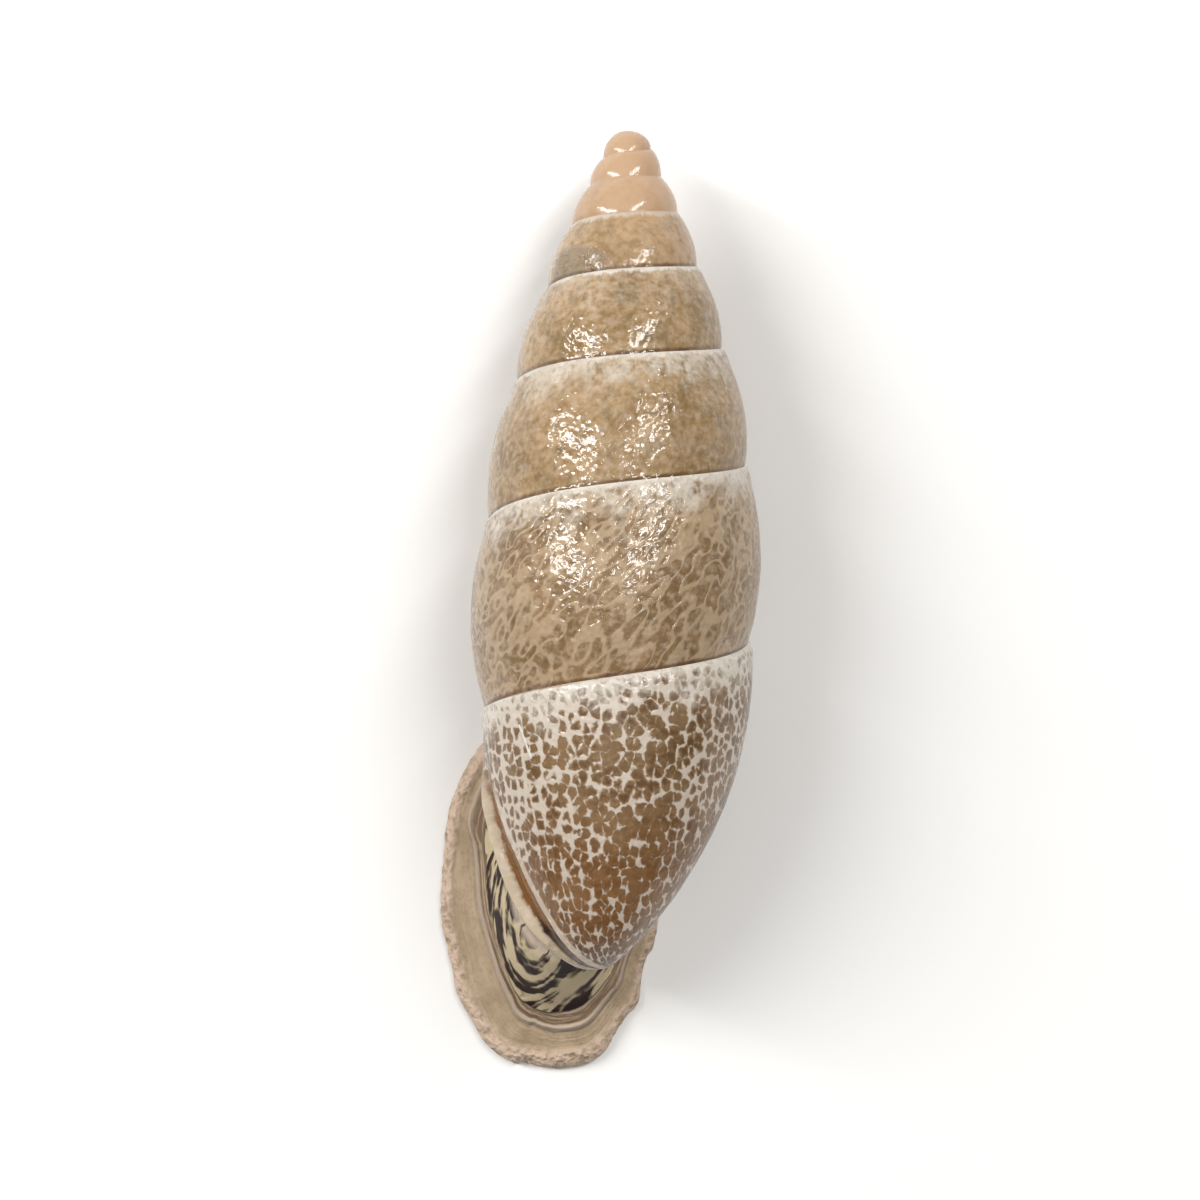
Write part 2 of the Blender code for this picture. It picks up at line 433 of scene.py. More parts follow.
def placed(mesh, how, where):
    """Moves each point of the mesh to a Position, or by an Offset."""
    return result_of(tree_of(mesh), "GeometryNodeSetPosition", None, {"Geometry": mesh, how: where})


def with_material(mesh, material):
    """A tree's output: the mesh as plain faces that have their material."""
    tree = tree_of(mesh)
    whole = result_of(tree, "GeometryNodeRealizeInstances", None, {"Geometry": mesh})
    glazed = result_of(tree, "GeometryNodeSetMaterial", None, {"Geometry": whole, "Material": material})
    return {"Geometry": glazed}


def coil_points(mesh, turn, depth, relief, thicker, tip_drop):
    """Moves a grid's points to the wall and keeps what the glaze needs to know about each."""
    wall = use(whorl_wall, {"Turn": turn, "Depth": depth})
    down = smaller(larger((depth - wall["Top"]) / (wall["Base"] - wall["Top"]), 0.0), 1.0)
    twist = GROWTH_TWIST * step(turn, TWIST_FROM, LAST_TURN) * down
    angle = math.pi + 2.0 * math.pi * (turn - LAST_TURN - twist)
    bare = use(shell_place, {
        "X": wall["Radius"] * cosine(angle), "Z": wall["Radius"] * sine(angle), "Depth": depth})
    beside = (angle - drawn_curve(depth, PAUSE_LINE) * (math.pi / 180.0)) * wall["Radius"]
    # In turns; the edge bends back towards the base, and a little less so near the suture
    past_edge = turn - EDGE_FROM + 0.02 * step(depth, 24.6, 26.8) - 0.010 * step(depth, 24.3, 22.8)
    height = use(whorl_relief, {
        "Turn": turn, "Depth": depth, "Top": wall["Top"], "Next Top": wall["Next Top"],
        "Width": wall["Width"], "Point": bare["Point"], "Beside Ridge": beside,
        "Past Edge": past_edge})["Height"]
    radius = wall["Radius"] + height * relief + thicker
    spot = use(shell_place, {
        "X": radius * cosine(angle), "Z": radius * sine(angle), "Depth": depth + tip_drop})
    mesh = keep(mesh, "growth", vector(turn, depth - wall["Top"], beside))
    arc = (angle - math.pi / 2.0) * maths("SQRT", wall["Radius"] * 4.0)
    mesh = keep(mesh, "seam", vector(wall["Next Top"] - depth, arc, depth))
    mesh = keep(mesh, "edge", vector(past_edge, 0.0, 0.0))
    return placed(mesh, "Position", spot["Point"])


tree, given = start_tree("Whorls", "GeometryNodeTree", {
    "Last Turn": LAST_TURN, "Columns": 100, "Rows": 20, "Base Columns": 40, "Base Rows": 12,
    "Relief": 1.0, "Thicker": 0.0, "Glaze": "Material"})
relief, thicker, last = given["Relief"], given["Thicker"], given["Last Turn"]

# Every whorl from suture to suture, with its rows closer together near the top
mesh, along, share = flat_grid(given["Columns"], given["Rows"])
turn = COIL_START + along * (last - COIL_START)
share = share ** 1.2
top = use(growth, {"Turn": turn})["Suture Depth"]
bottom = use(growth, {"Turn": turn + 1.0})["Suture Depth"]
band = coil_points(mesh, turn, top + (bottom - top) * share, relief, thicker, 0.0)

# The base of the last whorl, which no other whorl covers, with its rows closer together at the tip
mesh, along, share = flat_grid(given["Base Columns"], given["Base Rows"])
start = last - 1.0
turn = start + along * (last - start)
share = share ** 0.8
top = use(growth, {"Turn": turn + 1.0})["Suture Depth"]
bottom = use(growth, {"Turn": turn})["Base Depth"]
tip = use(growth, {"Turn": last - TIP_BEFORE_END})["Base Depth"]
to_tip = 1.0 - share
base = coil_points(mesh, turn, top + (bottom - top) * share, relief * step(to_tip, 0.0, 0.2),
                   thicker * to_tip, (tip - bottom) * share ** 3.0)
joined = add_node(tree, "GeometryNodeJoinGeometry")
for strip in (base, band):
    plug(strip, joined.inputs[0])
whorls_tree = end_tree(tree, with_material(Amount(joined.outputs[0]), given["Glaze"]), "NodeSocketGeometry")

# %% [markdown]
# ## From a tree to a closed mesh
#
# The tree runs on an object as a modifier. Its result is copied into a plain mesh, and the
# modifier goes. Then the strips are joined where they meet, the open end is closed, and the
# faces are turned outwards, so that the mesh is a proper solid that can be cut.

# %% Run a tree, then join and close what it made
WELD = 0.002
SLIVER = 0.0005
MM = 0.001
REST_TILT = 2.4
REST_MIDDLE = (-0.53348, -15.4207, -3.83262)


def grow(name, tree, inputs):
    """Runs a tree and returns an object that holds the result as a plain mesh."""
    seed = bpy.data.objects.new(name, bpy.data.meshes.new(name))
    modifier = seed.modifiers.new(name, "NODES")
    modifier.node_group = tree
    for item in tree.interface.items_tree:
        if item.item_type == "SOCKET" and item.in_out == "INPUT" and item.name in inputs:
            modifier[item.identifier] = inputs[item.name]
    bpy.context.scene.collection.objects.link(seed)
    grown = seed.evaluated_get(bpy.context.evaluated_depsgraph_get())
    mesh = bpy.data.meshes.new_from_object(grown)
    bpy.data.objects.remove(seed)
    made = bpy.data.objects.new(name, mesh)
    bpy.context.scene.collection.objects.link(made)
    return made


def close(made):
    """Joins, closes and turns out the faces, and lays the mesh down on the floor, in metres."""
    mesh = bmesh.new()
    mesh.from_mesh(made.data)
    bmesh.ops.remove_doubles(mesh, verts=mesh.verts, dist=WELD)
    bmesh.ops.dissolve_degenerate(mesh, dist=SLIVER, edges=mesh.edges)
    bmesh.ops.holes_fill(mesh, edges=mesh.edges, sides=0)
    bmesh.ops.triangulate(mesh, faces=[f for f in mesh.faces if len(f.verts) > 4])
    bmesh.ops.recalc_face_normals(mesh, faces=mesh.faces)
    to_rest = Matrix.Scale(MM, 4) @ Matrix.Translation([-m for m in REST_MIDDLE])
    mesh.transform(to_rest @ Matrix.Rotation(math.radians(-REST_TILT), 4, "X"))
    for spot in mesh.verts:
        spot.co.z = max(spot.co.z, 0.0)
    loose = sum(1 for e in mesh.edges if len(e.link_faces) != 2)
    mesh.to_mesh(made.data)
    mesh.free()
    print(f"{made.name}: {len(made.data.polygons)} faces, {loose} open or crowded edges")


def coil_inputs(last_turn, steps, rows, base_rows, relief, thicker, glaze):
    """The inputs of the whorls' tree for a coil with so many steps to the turn."""
    return {"Last Turn": last_turn, "Columns": round((last_turn - COIL_START) * steps) + 1, "Rows": rows,
            "Base Columns": steps + 1, "Base Rows": base_rows,
            "Relief": relief, "Thicker": thicker, "Glaze": glaze}


# %% [markdown]
# ## Effects for the glaze
#
# Up close the shell shows a few things over and over: a net of cream lines round brown cells,
# worm-like cream loops, a hammered surface that breaks the light into sparkles, fine growth
# lines, and small scratches. Each is a node group of its own, so any material can use it with
# its own numbers. A group only gives masks and heights; the shader stays in the material.

# %% Helpers for materials
def new_material(name):
    """A new material, its node tree and its shader."""
    made = bpy.data.materials.new(name)
    made.use_nodes = True
    return made, made.node_tree, made.node_tree.nodes["Principled BSDF"]


def mixed(share, a, b):
    """Colour a where the share is 0 and b where it is 1."""
    return result_of(tree_of(share, a, b), "ShaderNodeMix", {"data_type": "RGBA"}, {0: share, 6: a, 7: b}, 2)


def in_millimetres(tree, turned=0.0, unit=(1.0, 1.0, 1.0)):
    """The place on the object, turned about the upright axis, in units of so many millimetres."""
    return result_of(tree, "ShaderNodeMapping", {"vector_type": "TEXTURE"}, {
        "Vector": result_of(tree, "ShaderNodeTexCoord", output="Object"),
        "Rotation": (0.0, 0.0, math.radians(turned)), "Scale": tuple(MM * size for size in unit)})


def kept_on(tree, name):
    """The three numbers that the mesh keeps under a name."""
    return parts(result_of(tree, "ShaderNodeAttribute", {"attribute_name": name}, output="Vector"))


def shifted(at, amount, scale):
    """The point moved about at random, to make straight patterns wander."""
    cloud = result_of(tree_of(at), "ShaderNodeTexNoise", None,
                      {"Vector": at, "Scale": scale, "Detail": 1.5}, "Color")
    return vectors("ADD", at, scaled(vectors("SUBTRACT", cloud, (0.5, 0.5, 0.5)), amount))


def finish_surface(bsdf, colour, roughness, height):
    """Gives a shader its colour, its roughness and a bump whose height is in millimetres."""
    plug(colour, bsdf.inputs["Base Color"])
    plug(roughness, bsdf.inputs["Roughness"])
    plug(result_of(bsdf.id_data, "ShaderNodeBump", None, {"Strength": 1.0, "Distance": MM, "Height": height}),
         bsdf.inputs["Normal"])


# %% [markdown]
# ### The cream net
#
# On the last whorl rounded brown cells lie close together and run into each other, and the cream
# is what is left between them. One Voronoi texture gives the distance to a cell's edge, which
# makes lines of even width, and another the distance to its middle, which rounds the corners. A
# size that varies from place to place lets cells run together, and fine noise frays the edges.

# %% The cream net: what is left between rounded cells that run into each other
tree, given = start_tree("Cream Net", "ShaderNodeTree", {
    "Place": (0.0, 0.0, 0.0), "Pitch": 0.4, "Cell Size": 0.42, "Wander": 0.1, "Patchy": 0.5})
place = shifted(given["Place"], given["Wander"], 2.0)
grid = {"Vector": place, "Scale": 1.0 / given["Pitch"], "Randomness": 0.8}
to_edge, to_middle = [
    result_of(tree, "ShaderNodeTexVoronoi", {"feature": kind, "voronoi_dimensions": "2D"}, grid, "Distance")
    for kind in ("DISTANCE_TO_EDGE", "F1")]
inside = maths("SMOOTH_MIN", to_edge - 0.11, 0.5 - to_middle, 0.25)
size = given["Cell Size"] + (noise(place, 2.8, 2.0, 0.6, 9.0) - 0.5) * 1.0
size = size + (noise(given["Place"], 0.5, 2.0, 0.6, 5.0) - 0.5) * given["Patchy"]
ragged = (noise(given["Place"], 11.0, 2.0, 0.6, 14.0) - 0.5) * 0.22
from_edge = inside + size - 0.45 + ragged
cream_net = end_tree(tree, {
    "Lines": step(from_edge, -0.12, 0.07, 1.0, 0.0), "Hearts": step(from_edge, 0.0, 0.25)})

# %% [markdown]
# ### Worm-like lines
#
# The last-but-one whorl has thin looping lines instead of a net. A smooth random field crosses
# its middle value along just such loops, so a line is drawn where the field is near the middle.
# Two fields give lines that cross and join.

# %% Worm-like lines: two families, each where a random field crosses its middle
tree, given = start_tree("Cream Worms", "ShaderNodeTree", {
    "Place": (0.0, 0.0, 0.0), "Pitch": 1.0, "Width": 0.06, "Wander": 0.3, "Patchy": 1.0, "Crossing": 1.0})
place = shifted(given["Place"], given["Wander"], 2.0)
first = size_of(noise(place, 1.0 / given["Pitch"], 0.3, 0.5, 9.0) - 0.5)
second = size_of(noise(place, 1.0 / given["Pitch"], 0.3, 0.5, 27.0) - 0.5) + 0.2 * (1.0 - given["Crossing"])
nearest = first * second / maths("SQRT", first * first + second * second + 0.00001)
patches = 1.0 + (noise(given["Place"], 0.6, 2.0, 0.6, 5.0) - 0.5) * given["Patchy"] * 4.0
wide = given["Width"] * larger(patches, 0.05)
cream_worms = end_tree(tree, {"Lines": step(nearest / wide, 0.45, 1.15, 1.0, 0.0)})

# %% [markdown]
# ### Hammered surface, scratches and growth lines
#
# The glaze is full of shallow pits that split each reflection into sparkles: smooth Voronoi
# cells as a height do that. A scratch is the distance to a short straight line on the unrolled
# surface. Growth lines are noise that changes quickly along the growth and slowly across it.

# %% The hammered surface
tree, given = start_tree("Hammered", "ShaderNodeTree", {"Place": (0.0, 0.0, 0.0), "Size": 0.4})
place = shifted(given["Place"], 0.25, 2.0)
pits = result_of(tree, "ShaderNodeTexVoronoi", {"feature": "SMOOTH_F1"},
                 {"Vector": place, "Scale": 1.0 / given["Size"], "Smoothness": 0.6}, "Distance")
soft = noise(given["Place"], 2.2, 3.0, 0.55, 2.0)
hammered = end_tree(tree, {"Height": pits * 0.7 + soft * 0.8})

# %% A scratch: a short straight mark between two places on the unrolled surface
tree, given = start_tree("Scratch", "ShaderNodeTree", {
    "Place": (0.0, 0.0, 0.0), "From": (0.0, 0.0, 0.0), "To": (0.0, 1.0, 0.0), "Half Width": 0.1})
line = vectors("SUBTRACT", given["To"], given["From"])
way = vectors("SUBTRACT", given["Place"], given["From"])
share = vectors("DOT_PRODUCT", way, line) / vectors("DOT_PRODUCT", line, line)
share = smaller(larger(share, 0.0), 1.0)
off_line = vectors("LENGTH", vectors("SUBTRACT", way, scaled(line, share)))
scratch = end_tree(tree, {"Mark": step(off_line / given["Half Width"], 0.3, 1.0, 1.0, 0.0)})

# %% Growth lines, from the number of turns kept on the mesh
tree, given = start_tree("Growth Lines", "ShaderNodeTree", {"Turn": 0.0, "Across": 0.0, "Per Turn": 150.0})
run, across = given["Turn"] * given["Per Turn"], given["Across"]
fine = noise(vector(run, across * 0.5, 0.0), 1.0, 3.0, 0.6, 4.0)
coarse = noise(vector(run * 0.3, across * 0.25, 3.0), 1.0, 1.0, 0.5, 8.0)
growth_lines = end_tree(tree, {"Height": fine * 0.5 + coarse})

# %% [markdown]
# ## The glaze of the whorls
#
# The top of the spire is plain pinkish tan. Further down it turns olive brown with fine pale
# mottling, the last-but-one whorl has looping lines, and the cream net covers the last whorl.
# Under each suture the shell is milky white, with a painted shadow line in the seam above the
# edge. The mesh keeps how many turns each spot has behind it, how far it lies below the suture
# and how far beside the last ridge, and the colours follow those numbers. They are painted from
# the ground up: ground, lines, the brown band behind the ridge, the pale edge, the milky band, the
# painted seam shadow, and last the scratches.

# %% Colours of the whorls
TAN = (0.43, 0.29, 0.155, 1.0)
APEX = (0.52, 0.34, 0.21, 1.0)
OLIVE = (0.28, 0.18, 0.08, 1.0)
UMBER = (0.095, 0.045, 0.020, 1.0)
RUST = (0.22, 0.09, 0.025, 1.0)
CREAM = (0.53, 0.425, 0.335, 1.0)
MILK = (0.70, 0.65, 0.57, 1.0)
SLATE = (0.20, 0.17, 0.12, 1.0)
PLUM = (0.020, 0.008, 0.009, 1.0)
BUTTER = (0.56, 0.45, 0.29, 1.0)
SAND = (0.49, 0.365, 0.235, 1.0)
MM_PER_TURN = 26.0

glaze, tree, bsdf = new_material("whorl glaze")
place = in_millimetres(tree)
turn, below, beside = kept_on(tree, "growth")
cloud = noise(place, 0.55, 3.0, 0.6, 1.0)
speckle = noise(place, 4.2, 3.0, 0.6, 6.0)
bloom = noise(place, 1.7, 3.0, 0.6, 19.0)
ground = mixed(step(cloud, 0.35, 0.65), OLIVE, TAN)
ground = mixed(step(bloom, 0.5, 0.68) * step(turn, 6.3, 5.8) * 0.4, ground, SLATE)
ground = mixed(step(turn, 4.7, 5.6) * 0.36, ground, UMBER)
ground = mixed(step(turn, 6.0, 6.6) * 0.35, ground, UMBER)
ground = mixed(step(turn + (bloom - 0.5) * 1.2, 3.3, 1.5), ground, APEX)
mottled = step(turn, 1.0, 3.6) * step(turn, 6.5, 5.9)
ground = mixed(step(speckle, 0.46, 0.7) * mottled * 0.4, ground, CREAM)
ground = mixed(step(speckle, 0.54, 0.3) * mottled * 0.35, ground, UMBER)

last = step(turn, 6.02, 6.3)
lean = in_millimetres(tree, 50.0, (1.5, 0.55, 0.7))
early = use(cream_worms, {
    "Place": lean, "Pitch": 0.62, "Width": 0.085, "Wander": 0.3, "Patchy": 0.6, "Crossing": 0.4})
gap, arc, depth = kept_on(tree, "seam")
late = use(cream_net, {"Place": vector(arc, depth * 0.85, 0.0), "Pitch": 0.34, "Wander": 0.22, "Patchy": 0.55,
                       "Cell Size": 0.5 - 0.04 * step(turn, 6.8, 6.93) + 0.05 * step(below, 3.5, 6.0)
                       - 0.13 * step(below, 1.5, 0.3)})
net = early["Lines"] * step(turn, 4.3, 5.7) * (1.0 - last) * 0.6 + late["Lines"] * last * 0.92
hearts = late["Hearts"] * last * step(noise(place, 0.9, 2.0, 0.6, 33.0), 0.4, 0.6)
ground = mixed(hearts * 0.75, ground, UMBER)
ground = mixed(step(speckle, 0.5, 0.72) * last * 0.35, ground, TAN)
ground = mixed(step(turn, 6.3, 6.7) * step(below, 2.5, 7.5) * 0.55, ground, RUST)
streaks = noise(vector(turn * 55.0, below * 0.5, 0.0), 1.0, 3.0, 0.65, 12.0)
drift = noise(place, 0.9, 3.0, 0.65, 12.0)
milky = step(below + (drift - 0.5) * 3.2 + (streaks - 0.5) * 1.2, -0.1, 1.5, 1.0, 0.0)
milky = milky * step(turn, 2.8, 5.6) * step(streaks + (speckle - 0.5) * 0.8, 0.2, 0.62) * 0.8
rim_white = step(below + (streaks - 0.5) * 0.5 + (speckle - 0.5) * 0.3, 0.05, 0.2, 1.0, 0.0)
white = larger(milky, rim_white * step(turn, 1.9, 3.6) * 0.9)
# A painted shadow line in the seam just above each suture's white edge, broken here and there
broken = step(noise(vector(turn * 9.0, 0.0, 0.0), 1.0, 3.0, 0.6, 61.0), 0.3, 0.6, 0.5, 1.0)
seam_shadow = step(gap + (streaks - 0.5) * 0.16, 0.05, 0.17, 1.0, 0.0) * broken
seam_shadow = seam_shadow * step(turn, 6.0, 5.98) * step(turn, 1.5, 3.0)
past_edge, _, _ = kept_on(tree, "edge")
at_end = step(turn, 6.6, 6.7)
band = step(beside, 0.08, 0.16) * at_end * step(depth, 20.6, 21.8)
stained = mixed(step(bloom, 0.4, 0.6) * 0.3, RUST, UMBER)
# Near the tip the brown band turns plum black, partly its own colour and partly painted shade where it runs
# into the trench
ground = mixed(band, ground, mixed(step(depth + beside * 0.5, 25.6, 26.2) * 0.9, stained, PLUM))
net = net * (1.0 - band)
border = step(past_edge + (bloom - 0.5) * 0.014, -0.006, 0.0) * at_end * step(depth, 20.8, 22.0)
near_ridge = beside + (noise(place, 3.0, 2.0, 0.6, 35.0) - 0.5) * 0.07
crest = step(hump(near_ridge + 0.04, 0.0, 0.22), 0.1, 0.6) * at_end * step(depth, 21.0, 22.0)
# Darker near the base tip, where the whorl tucks into the trench: partly its own colour and partly painted
# shade
near_tip = step(depth + (bloom - 0.5) * 2.0, 25.6, 26.8) * at_end
ground = mixed(near_tip * 0.6, ground, UMBER)
net = larger(net, larger(border * (1.0 - 0.6 * near_tip * step(bloom, 0.4, 0.6)), crest))
line_colour = mixed(late["Lines"] * last * 0.4, mixed(last, SAND, CREAM), MILK)
colour = mixed(net, ground, line_colour)
colour = mixed(border * step(speckle, 0.25, 0.6) * 0.7, colour, BUTTER)
colour = mixed(white, colour, MILK)
# The painted seam shadow goes over the milky white
colour = mixed(seam_shadow * 0.9, colour, UMBER)

# The scratch on the last whorl, two dents on the one before, darkened a little, partly their scar colour and
# partly painted shade, and a grey smudge near the top
unrolled = vector(turn * MM_PER_TURN, depth, 0.0)
creased = vector(turn * MM_PER_TURN + bloom * 0.8 - 0.4, depth + speckle * 0.5 - 0.25, 0.0)
scratched = use(scratch, {
    "Place": unrolled, "From": (178.7, 19.45, 0.0), "To": (178.35, 20.4, 0.0), "Half Width": 0.07})["Mark"]
dented = use(scratch, {
    "Place": creased, "From": (150.1, 15.25, 0.0), "To": (149.75, 15.8, 0.0), "Half Width": 0.13})["Mark"]
dented = larger(dented, use(scratch, {
    "Place": creased, "From": (149.3, 15.0, 0.0), "To": (148.5, 15.25, 0.0), "Half Width": 0.1})["Mark"])
smudge = step(hump(turn, 2.87, 0.11) * hump(depth, 4.65, 0.8), 0.05, 0.4) * step(speckle, 0.3, 0.55)
# The dents get a little darkening, partly scar colour and partly painted shade
colour = mixed(dented * 0.15, mixed(smudge * 0.6, colour, SLATE), UMBER)
colour = mixed(scratched, colour, MILK)

# The relief of the glaze, which is glossy, and a little less so where it is pale
pits = use(hammered, {"Place": place, "Size": 0.2})["Height"]
grown = use(growth_lines, {"Turn": turn, "Across": below})["Height"]
height = pits * 0.036 * step(turn, 1.0, 4.0) + grown * 0.008 + net * 0.015 + white * streaks * 0.02
height = height - dented * 0.03 + scratched * 0.03 + smudge * 0.05
finish_surface(bsdf, colour, 0.09 + 0.06 * larger(net, white) + 0.08 * speckle, height)
bsdf.inputs["IOR"].default_value = 1.46

# %% [markdown]
# ## The lip and the neck
#
# The lip is matt and beige, with lines that run round it like the rings of a tree, a thin raised
# line nearer the whorl with a painted shadow along its inner side, and knobbly pinkish limy lumps
# along the rim. Behind it, in the trench under the last whorl, the shell is purple black, partly its
# own colour and partly painted shade, with cream folds. All of it follows the numbers kept on the
# neck: how far along it, how far out, and how far from the two drawn lines.

# %% Colours of the lip and the neck
BEIGE = (0.355, 0.26, 0.165, 1.0)
BONE = (0.45, 0.335, 0.22, 1.0)
PINKISH = (0.64, 0.48, 0.37, 1.0)
COCOA = (0.13, 0.075, 0.045, 1.0)
STRAW = (0.54, 0.44, 0.28, 1.0)

lip_glaze, tree, bsdf = new_material("lip and neck")
place = in_millimetres(tree)
run, flare, turned = kept_on(tree, "sweep")
past_line, past_trench, across = kept_on(tree, "creases")
blotch = noise(place, 1.1, 3.0, 0.6, 3.0)
grain = noise(place, 7.0, 3.0, 0.6, 2.0)
wobble = (noise(place, 1.5, 2.0, 0.55, 15.0) - 0.5) * 0.06
rings = noise(vector((past_line + wobble) * 22.0, turned * 0.03, run * 0.4), 1.0, 3.0, 0.6, 21.0)
ground = mixed(step(blotch, 0.35, 0.65), BEIGE, BONE)
ground = mixed(step(rings, 0.45, 0.7) * 0.4, ground, CREAM)
ground = mixed(step(grain, 0.5, 0.3) * 0.25, ground, COCOA)
back = step(run, 4.75, 4.55)
rim = step(flare + wobble * 3.0, 0.70, 0.9)
knobs = noise(place, 2.8, 2.0, 0.55, 41.0)
ground = mixed(rim * step(knobs, 0.35, 0.55) * 0.85, ground, PINKISH)
ground = mixed(1.0 - back, ground, BONE)
inner = step(past_line + wobble, 0.02, -0.02) * back
ground = mixed(inner * step(rings, 0.56, 0.42) * 0.75, ground, COCOA)
crest = hump(past_line + wobble * 0.5, 0.0, 0.085) * back
ground = mixed(step(crest, 0.1, 0.7) * 0.65, ground, CREAM)
# A painted shadow along the inner side of the raised line
ground = mixed(hump(past_line + wobble, -0.08, 0.045) * back * 0.5, ground, COCOA)
# The trench between the whorl and the lip: near-black plum between cream folds, partly its own colour and
# partly painted shade of the trough
trench = step(past_trench + wobble, 0.015, -0.015) * step(run, 4.2, 4.0)
folds = noise(vector(across * 1.5, run * 0.4 + turned * 0.01, 0.0), 1.0, 1.5, 0.5, 31.0)
folds = folds + (noise(place, 1.2, 2.0, 0.6, 37.0) - 0.5) * 0.55
fold = step(folds, 0.45, 0.58)
ground = mixed(trench, ground, mixed(fold, PLUM, mixed(step(blotch, 0.4, 0.6), STRAW, BUTTER)))
ground = mixed(step(run, -0.35, -0.45), mixed(hump(run, -0.22, 0.24), ground, CREAM), RUST)
height = rings * 0.05 + trench * fold * 0.15 + grain * 0.015 + rim * knobs * 0.32 + crest * 0.1
finish_surface(bsdf, ground, 0.45 + 0.2 * rings, height)
bsdf.inputs["IOR"].default_value = 1.28
bsdf.inputs["Specular IOR Level"].default_value = 0.3

# %% [markdown]
# ## The throat
#
# The photo doesn't show the mouth, which lies on the floor. Its inside is left plain and glossy:
# bone near the lip, and darker with the height above the floor, as the light would leave it.

# %% The throat: glossy, from bone at the lip to brown plum inside as painted shade
throat_glaze, tree, bsdf = new_material("throat")
place = in_millimetres(tree)
height_above_floor = parts(place)[2]
marble = noise(place, 1.2, 3.0, 0.6, 71.0)
# Painted shade: darker the higher it lies above the floor, inside the hollow
throat_shade = step(height_above_floor + (marble - 0.5) * 1.6, 0.6, 2.6)
colour = mixed(throat_shade, BONE, mixed(step(marble, 0.4, 0.65), COCOA, PLUM))
waves = noise(place, 2.5, 2.0, 0.5, 73.0) * 0.05
finish_surface(bsdf, colour, 0.18 + 0.15 * marble, waves)

# %% [markdown]
# ## Growing the whorls
#
# Now the tree runs once for the outside of all the whorls.

# %% Grow the whorls
ROWS = 36
BASE_ROWS = 36

whorls = grow("snail_shell", whorls_tree, coil_inputs(
    LAST_TURN, STEPS_PER_TURN, ROWS, BASE_ROWS, relief=1.0, thicker=0.0, glaze=glaze))
close(whorls)

# %% [markdown]
# ## The neck, the lip and the mouth
#
# Before it stopped growing the snail turned its tube down and flared the edge into a lip. The
# neck is a ring swept along a drawn outline. The outline's first number is the way along the
# neck, and its second says how far out from it: -1 is the centre, 0 the neck's wall and 1 the
# rim of the lip. The same tree with another outline makes the hollow of the mouth.

# %% Sizes and outlines of the neck and mouth
NECK_CENTRE = 1.7
NECK_HALF_WIDTH = 2.25
NECK_HALF_HEIGHT = 3.7
NECK_DEPTH = 24.4
NECK_DROP = 0.1
COIL_DROP = 0.85
TURN_RADIUS = 2.1
LIP_OUTER = 1.53
LIP_LOWER = 2.18
LIP_INNER = 0.95
LIP_UPPER = 2.6
LIP_SKEW = 0.05
LIP_SQUARENESS = 0.03
LIP_PLANE = 0.0085
LIP_PLANE_DEPTH = 25.2
NECK_OUTLINE = (
    (-2.6, -0.9), (-2.2, -0.75), (-1.6, -0.57), (-0.9, -0.46), (-0.2, -0.36), (0.5, -0.27), (1.2, -0.18),
    (2.0, -0.09), (2.8, -0.03), (3.4, 0.06), (3.7, 0.25), (3.95, 0.5), (4.2, 0.85), (4.5, 1.05),
    (4.85, 1.04), (5.0, 0.85), (4.87, 0.6), (4.7, 0.35), (4.6, 0.1), (4.6, -0.4), (4.6, -0.8),
)
NECK_BELOW_WALL = 0.12
MOUTH_OUTLINE = (
    (6.0, -0.9), (6.0, -0.6), (6.0, 0.2), (5.7, 0.42), (5.1, 0.3), (4.6, 0.1), (4.0, -0.08),
    (3.4, -0.16), (2.6, -0.22), (1.8, -0.3), (1.0, -0.4), (0.2, -0.5), (-0.6, -0.53), (-1.4, -0.53),
    (-2.2, -0.56), (-3.0, -0.64), (-3.8, -0.78), (-4.2, -0.9),
)
MOUTH_BELOW_WALL = 0.45
WALL_ENTRY = 0.8
CALLUS = 0.1
CALLUS_END = 6.45
FLARE_SCALE = 2.2
MEAN_RADIUS = 3.1


def outline_curve(name, outline):
    """The outline as a smooth drawn curve, its flare stretched to be about as long as it is real."""
    data = bpy.data.curves.new(name, "CURVE")
    data.dimensions = "3D"
    data.resolution_u = 16
    spline = data.splines.new("NURBS")
    spline.points.add(len(outline) - 1)
    for spot, (run, flare) in zip(spline.points, outline):
        spot.co = (run, flare * FLARE_SCALE, 0.0, 1.0)
    spline.order_u = 4
    made = bpy.data.objects.new(name, data)
    bpy.context.scene.collection.objects.link(made)
    return made


# %% How the lip's edge and its lines run, from 0 at the hidden side round by the top: (degrees, number)
LIP_REACH = (
    (0, 1.3), (20, 1.1), (40, 1.0), (100, 0.96), (130, 0.931), (140, 0.945), (150, 0.979), (160, 1.0),
    (170, 0.995), (180, 1.0), (190, 1.02), (200, 0.971), (210, 0.921), (220, 0.976), (230, 0.963),
    (240, 1.029), (250, 1.043), (260, 0.973), (270, 0.95), (280, 0.957), (290, 0.98), (300, 0.904),
    (310, 0.854), (320, 0.962), (330, 0.891), (340, 1.07), (350, 1.22), (360, 1.3))
RAISED_LINE = (
    (0, 0.5), (120, 0.62), (148, 0.6), (161, 0.38), (176, 0.233), (193, 0.161), (209, 0.121),
    (227, 0.174), (240, 0.253), (250, 0.341), (263, 0.369), (284, 0.409), (310, 0.421), (331, 0.44),
    (339, 0.465), (360, 0.5))
TRENCH_LINE = (
    (0, 0.3), (120, 0.35), (154, 0.224), (176, 0.022), (194, -0.012), (212, -0.038), (227, 0.007),
    (242, 0.121), (252, 0.149), (300, 0.15), (330, 0.2), (360, 0.3))

